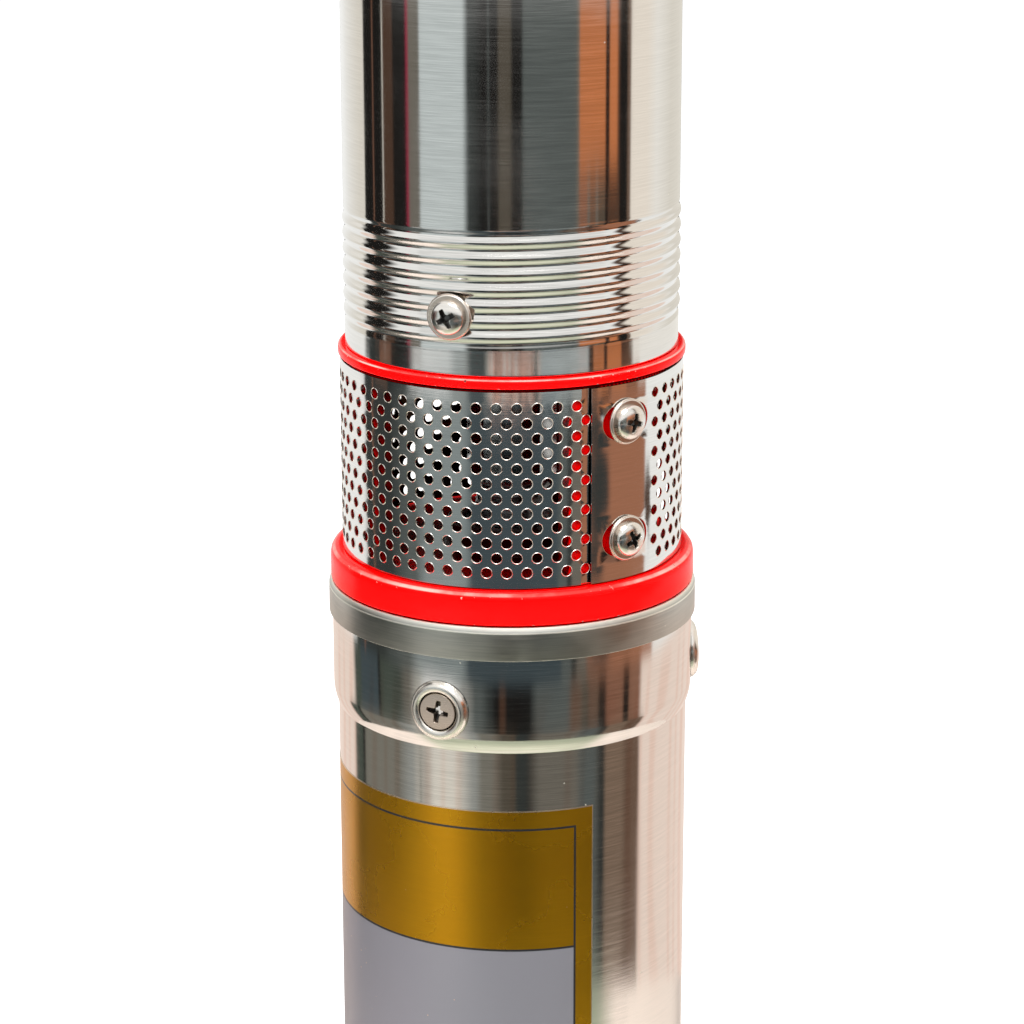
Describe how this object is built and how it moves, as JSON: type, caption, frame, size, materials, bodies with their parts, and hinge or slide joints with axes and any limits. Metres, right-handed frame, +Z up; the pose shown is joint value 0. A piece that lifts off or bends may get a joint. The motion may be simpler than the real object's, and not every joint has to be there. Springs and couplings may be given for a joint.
{
  "type": "borehole submersible pump",
  "caption": "Slim upright borehole pump: stainless motor, red cast suction bracket with perforated strainer, threaded barrel with helical rotor, and outlet head with check valve.",
  "frame": {"origin": "centre of the flat base that the pump stands on", "axes": "+Z up along the pump's axis towards the outlet; -Y is the side that the picture shows"},
  "size_m": [0.1009, 0.0994, 0.6727],
  "materials": {
    "stainless_tube": "polished and finely brushed stainless tube",
    "perforated_sheet": "polished perforated stainless sheet",
    "red_paint": "glossy red enamel on cast iron, chipped at the edges",
    "cast_iron": "plain casting",
    "nickel_fastener": "nickel plated, slightly warm",
    "chrome_rotor": "hard chrome, polished",
    "machined_steel": "turned steel",
    "copper_winding": "varnished copper wire",
    "brass_fitting": "turned brass",
    "black_rubber": "matt black rubber",
    "ceramic_seal": "lapped ceramic seal ring"
  },
  "bodies": {
    "pump": {"barrel_lock_screw": "nickel_fastener", "barrel_lock_washer": "nickel_fastener", "base_cover": "stainless_tube", "base_cup_washer_1": "nickel_fastener", "base_cup_washer_2": "nickel_fastener", "base_cup_washer_3": "nickel_fastener", "base_o_ring": "black_rubber", "base_screw_1": "nickel_fastener", "base_screw_2": "nickel_fastener", "base_screw_3": "nickel_fastener", "bracket_o_ring": "black_rubber", "cup_washer_1": "nickel_fastener", "cup_washer_2": "nickel_fastener", "cup_washer_3": "nickel_fastener", "discharge_head": "red_paint", "gland_nut": "brass_fitting", "gland_sleeve": "black_rubber", "head_lock_screw": "nickel_fastener", "head_lock_washer": "nickel_fastener", "lower_bearing_bracket": "cast_iron", "lower_bearing_outer": "machined_steel", "motor_screw_1": "nickel_fastener", "motor_screw_2": "nickel_fastener", "motor_screw_3": "nickel_fastener", "motor_shell": "stainless_tube", "outlet_gasket": "black_rubber", "pressure_diaphragm": "black_rubber", "pump_barrel": "stainless_tube", "seal_seat": "ceramic_seal", "stator_core": "machined_steel", "stator_gasket": "black_rubber", "stator_rubber": "black_rubber", "stator_sleeve": "machined_steel", "strainer": "perforated_sheet", "strainer_screw_lower": "nickel_fastener", "strainer_screw_upper": "nickel_fastener", "strainer_washer_lower": "nickel_fastener", "strainer_washer_upper": "nickel_fastener", "suction_bracket": "red_paint", "upper_bearing_outer": "machined_steel", "valve_guide": "brass_fitting", "valve_seat": "brass_fitting", "valve_spring": "stainless_tube", "winding_lower": "copper_winding", "winding_upper": "copper_winding"},
    "shaft": {"motor_shaft": "machined_steel", "rotor_core": "machined_steel", "lower_bearing_inner": "machined_steel", "upper_bearing_inner": "machined_steel", "shaft_coupling": "stainless_tube", "seal_face": "machined_steel", "seal_spring": "machined_steel", "lower_joint_pin": "machined_steel"},
    "rod": {"cardan_rod": "stainless_tube"},
    "rotor": {"screw_rotor": "chrome_rotor", "upper_joint_pin": "machined_steel"},
    "poppet": {"valve_poppet": "brass_fitting"}
  },
  "joints": [
    {"name": "shaft_spin", "type": "hinge", "parent": "pump", "child": "shaft", "pos_m": [0, 0, 0.305], "axis": [0, 0, 1], "continuous": true},
    {"name": "rod_orbit", "type": "hinge", "parent": "pump", "child": "rod", "pos_m": [0, 0, 0.3595], "axis": [0, 0, 1], "continuous": true},
    {"name": "rotor_spin", "type": "hinge", "parent": "rod", "child": "rotor", "pos_m": [0.00349, 0, 0.42741], "axis": [0, 0, 1], "continuous": true},
    {"name": "valve_lift", "type": "slide", "parent": "pump", "child": "poppet", "axis": [0, 0, 1], "range_m": [0, 0.006], "stiffness_N_per_m": 200, "springref_m": -0.004, "deforming": ["valve_spring"]}
  ],
  "couplings": [
    {"joint": "rod_orbit", "follows": "shaft_spin", "ratio": -1},
    {"joint": "rotor_spin", "follows": "shaft_spin", "ratio": 2}
  ]
}
